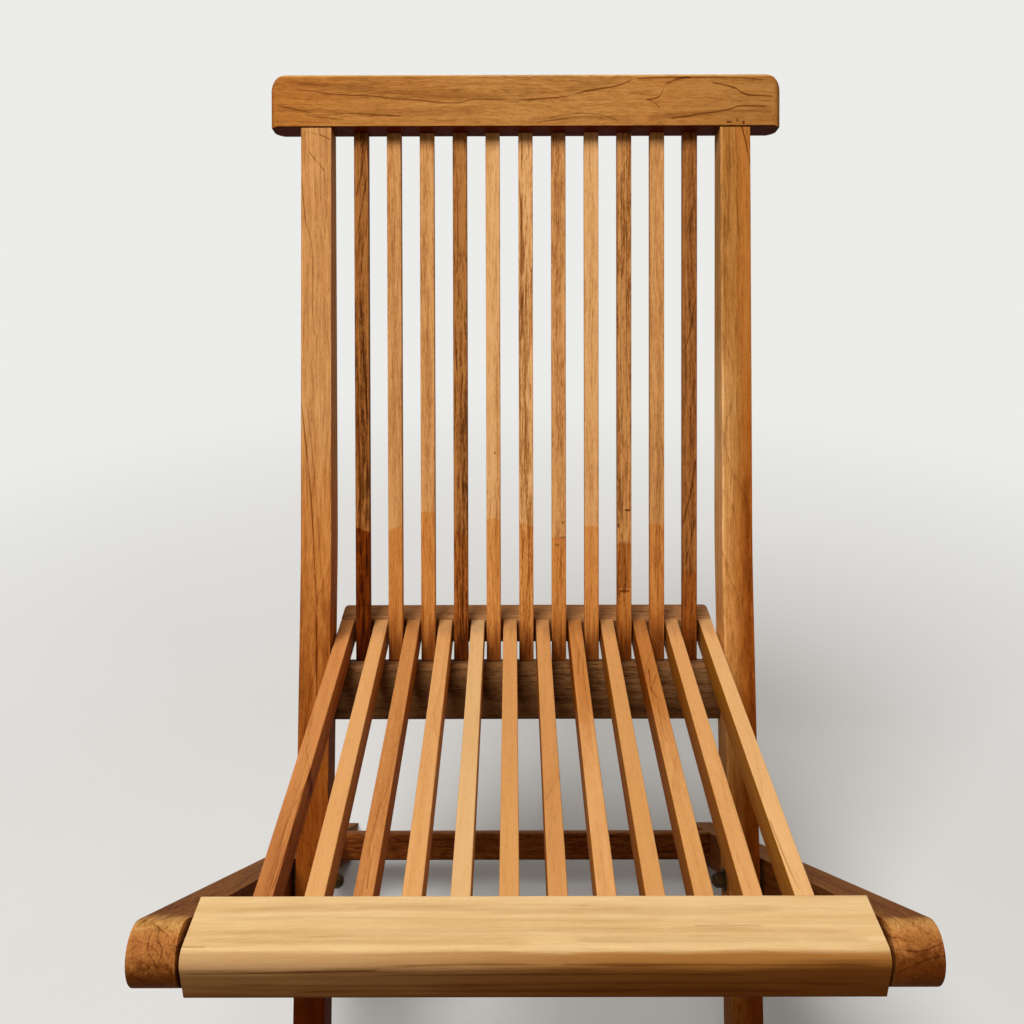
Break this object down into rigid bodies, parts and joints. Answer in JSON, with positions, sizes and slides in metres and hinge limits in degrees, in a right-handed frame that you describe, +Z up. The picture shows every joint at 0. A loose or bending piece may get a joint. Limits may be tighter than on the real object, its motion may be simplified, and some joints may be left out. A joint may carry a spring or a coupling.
{
  "type": "folding chair",
  "caption": "Folding teak chair without arms: bent posts carry a slatted back, straight legs cross them and carry the slatted seat, and the seat swings up between the back slats to fold.",
  "frame": {"origin": "centre of the open chair's outer box on the floor", "axes": "+X to the right as seen from the front, +Y from the seat's front towards the back, +Z up"},
  "size_m": [0.4972, 0.6458, 0.8897],
  "materials": {
    "teak_honey": "oiled, honey brown",
    "teak_pale": "oiled, pale straw",
    "teak_dark": "weathered, grey brown",
    "teak_red": "oiled, reddish brown",
    "brass": "dulled outdoors"
  },
  "bodies": {
    "back_frame": {"post_left": "teak_honey", "post_right": "teak_honey", "crest_rail": "teak_honey", "lower_back_rail": "teak_dark", "back_slat_01": "teak_red", "back_slat_02": "teak_honey", "back_slat_03": "teak_honey", "back_slat_04": "teak_red", "back_slat_05": "teak_pale", "back_slat_06": "teak_honey", "back_slat_07": "teak_honey", "back_slat_08": "teak_pale", "back_slat_09": "teak_honey", "back_slat_10": "teak_honey", "back_slat_11": "teak_red", "frame_bolt_right": "brass", "frame_bolt_left": "brass", "frame_outer_washer_right": "brass", "frame_outer_washer_left": "brass", "frame_spacer_right": "brass", "frame_spacer_left": "brass", "frame_inner_washer_right": "brass", "frame_inner_washer_left": "brass", "frame_cap_nut_right": "brass", "frame_cap_nut_left": "brass"},
    "rear_leg_frame": {"rear_leg_right": "teak_red", "rear_leg_left": "teak_red", "rear_stretcher": "teak_dark"},
    "seat": {"seat_front_rail": "teak_pale", "seat_rear_rail": "teak_dark", "seat_slat_01": "teak_honey", "seat_slat_02": "teak_pale", "seat_slat_03": "teak_honey", "seat_slat_04": "teak_honey", "seat_slat_05": "teak_pale", "seat_slat_06": "teak_pale", "seat_slat_07": "teak_honey", "seat_slat_08": "teak_honey", "seat_slat_09": "teak_pale", "seat_slat_10": "teak_honey", "seat_slat_11": "teak_pale", "seat_slat_12": "teak_pale", "seat_bolt_right": "brass", "seat_bolt_left": "brass", "seat_washer_right": "brass", "seat_washer_left": "brass", "seat_spacer_right": "brass", "seat_spacer_left": "brass", "seat_insert_right": "brass", "seat_insert_left": "brass"}
  },
  "joints": [
    {"name": "fold", "type": "hinge", "parent": "back_frame", "child": "rear_leg_frame", "pos_m": [0, -0.05505, 0.238], "axis": [-1, 0, 0], "range_deg": [0, 74]},
    {"name": "seat_pivot", "type": "hinge", "parent": "rear_leg_frame", "child": "seat", "pos_m": [0, -0.30282, 0.44444], "axis": [-1, 0, 0], "range_deg": [-128.5, 0]}
  ],
  "couplings": [
    {"joint": "seat_pivot", "follows": "fold", "ratio": -1.735}
  ]
}
